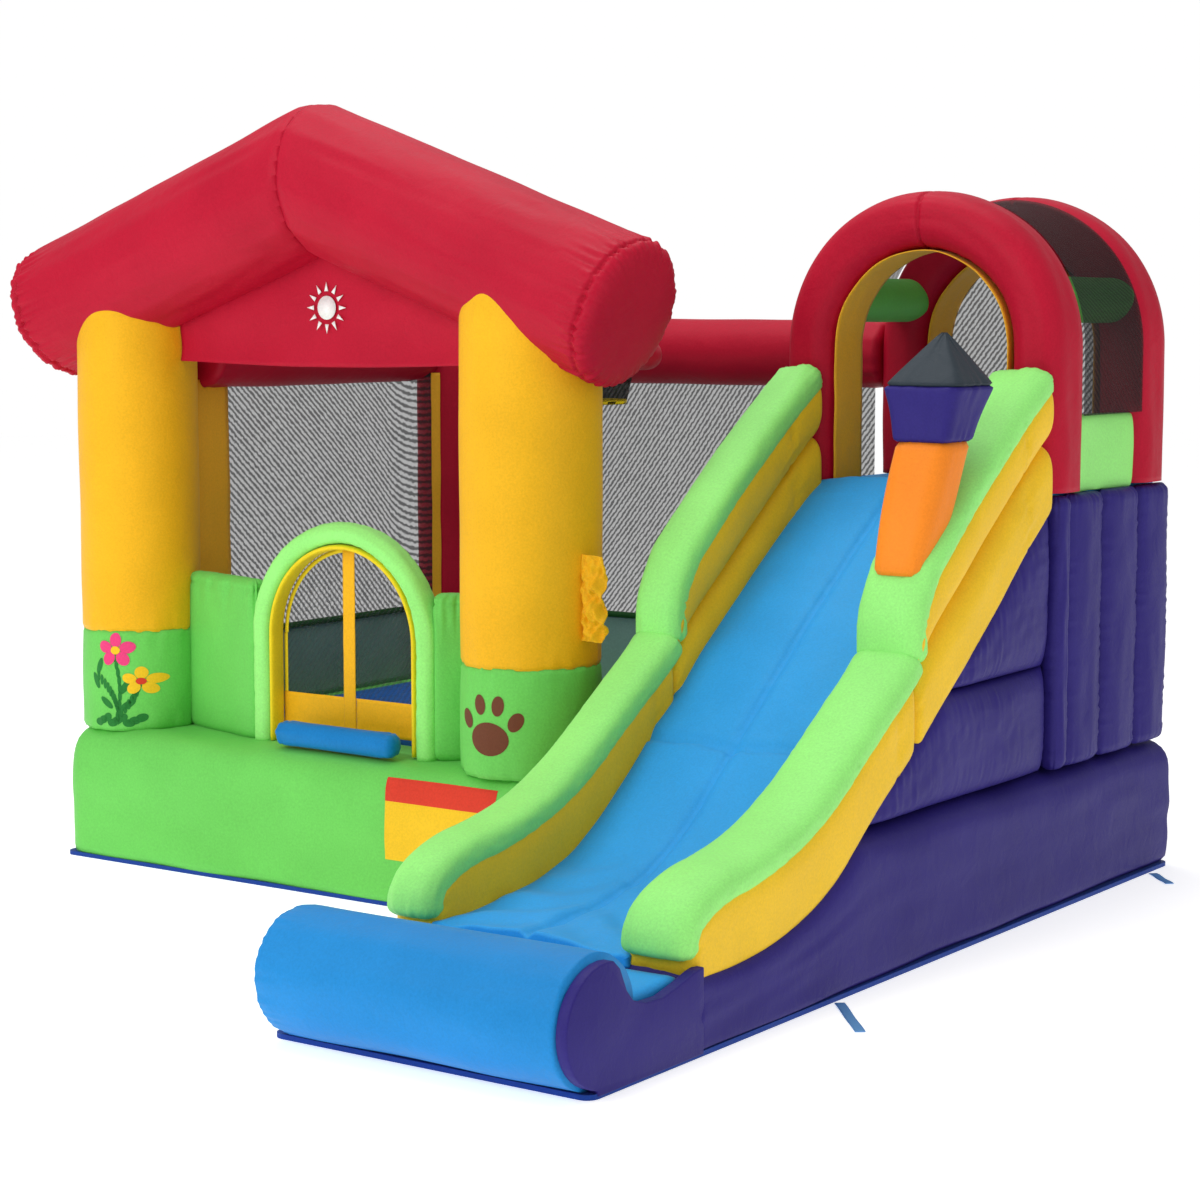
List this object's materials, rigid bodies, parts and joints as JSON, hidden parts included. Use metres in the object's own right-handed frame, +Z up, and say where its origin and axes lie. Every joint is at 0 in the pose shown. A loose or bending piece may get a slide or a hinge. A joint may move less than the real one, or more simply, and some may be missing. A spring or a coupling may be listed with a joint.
{
  "type": "inflatable bounce house",
  "caption": "Inflatable bounce house with a gabled roof, mesh walls and a two-leaf mesh door, joined to a padded slide with arches over its platform.",
  "frame": {"origin": "on the ground under the middle of the whole part's box, anchor straps and air inlet included", "axes": "+X to the right along the house front, from the house to the slide; +Y from the slide's foot to the back; +Z up"},
  "size_m": [3.2589, 3.221, 2.2478],
  "materials": {
    "navy_hem": "matt woven",
    "lime_oxford": "satin woven oxford",
    "blue_oxford": "satin woven oxford",
    "baffle_cloth": "matt woven",
    "yellow_oxford": "satin woven oxford",
    "red_oxford": "satin woven oxford",
    "black_mesh": "open knitted mesh",
    "teal_cloth": "matt woven",
    "trim_yellow": "satin woven",
    "purple_oxford": "satin woven oxford",
    "ochre_lining": "satin woven",
    "orange_oxford": "satin woven oxford",
    "charcoal_oxford": "satin woven oxford",
    "strap_webbing": "ribbed webbing",
    "zipper_tape": "matt woven tape",
    "zipper_metal": "enamelled zinc"
  },
  "bodies": {
    "house": {"ground_sheet": "navy_hem", "base_front": "lime_oxford", "base_left": "lime_oxford", "base_rear": "lime_oxford", "base_right": "lime_oxford", "bounce_floor": "blue_oxford", "inner_baffles": "baffle_cloth", "post_front_left": "yellow_oxford", "post_front_right": "yellow_oxford", "post_bands": "lime_oxford", "post_rear_left": "red_oxford", "roof_tube_left": "red_oxford", "roof_tube_right": "red_oxford", "gable_panel": "red_oxford", "left_top_tube": "red_oxford", "rear_top_tube": "red_oxford", "left_mesh_wall": "black_mesh", "rear_mesh_wall": "black_mesh", "lower_walls": "teal_cloth", "front_panels": "lime_oxford", "door_arch": "lime_oxford", "door_trim": "trim_yellow", "entry_step": "blue_oxford", "hoop_ring": "red_oxford", "hoop_net": "black_mesh", "gusset_panel": "yellow_oxford", "slide_base": "purple_oxford", "slide_body": "purple_oxford", "slide_bed": "blue_oxford", "side_panels_right": "purple_oxford", "side_ribs_right": "purple_oxford", "side_panels_left": "purple_oxford", "platform": "blue_oxford", "bumper_left_sides": "yellow_oxford", "bumper_left_tops": "lime_oxford", "bumper_right_sides": "yellow_oxford", "bumper_right_tops": "lime_oxford", "splash_roll": "blue_oxford", "landing_pad": "blue_oxford", "roll_end_cap": "purple_oxford", "climbing_wall": "purple_oxford", "front_arch": "red_oxford", "rear_arch": "red_oxford", "arch_linings": "ochre_lining", "tunnel_side_panel": "lime_oxford", "tunnel_mesh": "black_mesh", "cross_tubes": "lime_oxford", "turret_body": "orange_oxford", "turret_flare": "purple_oxford", "turret_roof": "charcoal_oxford", "inlet_sleeve": "navy_hem", "zipper_tape": "zipper_tape"},
    "door_leaf_left": {"door_leaf_left": "black_mesh"},
    "door_leaf_right": {"door_leaf_right": "black_mesh"},
    "zipper_slider": {"zipper_slider": "zipper_metal"},
    "anchor_strap_right_front": {"anchor_strap_right_front": "strap_webbing"},
    "anchor_strap_right_rear": {"anchor_strap_right_rear": "strap_webbing"},
    "anchor_strap_left_front": {"anchor_strap_left_front": "strap_webbing"},
    "anchor_strap_left_rear": {"anchor_strap_left_rear": "strap_webbing"}
  },
  "joints": [
    {"name": "door_left_hinge", "type": "hinge", "parent": "house", "child": "door_leaf_left", "pos_m": [-0.6605, -0.1185, 0.7], "axis": [0, 0, 1], "range_deg": [0, 90]},
    {"name": "door_right_hinge", "type": "hinge", "parent": "house", "child": "door_leaf_right", "pos_m": [-0.1325, -0.1185, 0.7], "axis": [0, 0, -1], "range_deg": [0, 90]},
    {"name": "zipper_slide", "type": "slide", "parent": "house", "child": "zipper_slider", "axis": [1, 0, 0], "range_m": [0, 0.24]},
    {"name": "strap_right_front_hinge", "type": "hinge", "parent": "house", "child": "anchor_strap_right_front", "pos_m": [1.45727, -0.51548, 0.0015], "axis": [-0.7593, -0.6508, 0], "range_deg": [0, 60]},
    {"name": "strap_right_rear_hinge", "type": "hinge", "parent": "house", "child": "anchor_strap_right_rear", "pos_m": [1.45811, 1.31928, 0.0015], "axis": [-0.729, -0.6845, 0], "range_deg": [0, 60]},
    {"name": "strap_left_front_hinge", "type": "hinge", "parent": "house", "child": "anchor_strap_left_front", "pos_m": [-1.42311, -0.00872, 0.0015], "axis": [-0.729, 0.6845, 0], "range_deg": [0, 60]},
    {"name": "strap_left_rear_hinge", "type": "hinge", "parent": "house", "child": "anchor_strap_left_rear", "pos_m": [-1.42311, 1.17128, 0.0015], "axis": [-0.729, 0.6845, 0], "range_deg": [0, 60]}
  ]
}
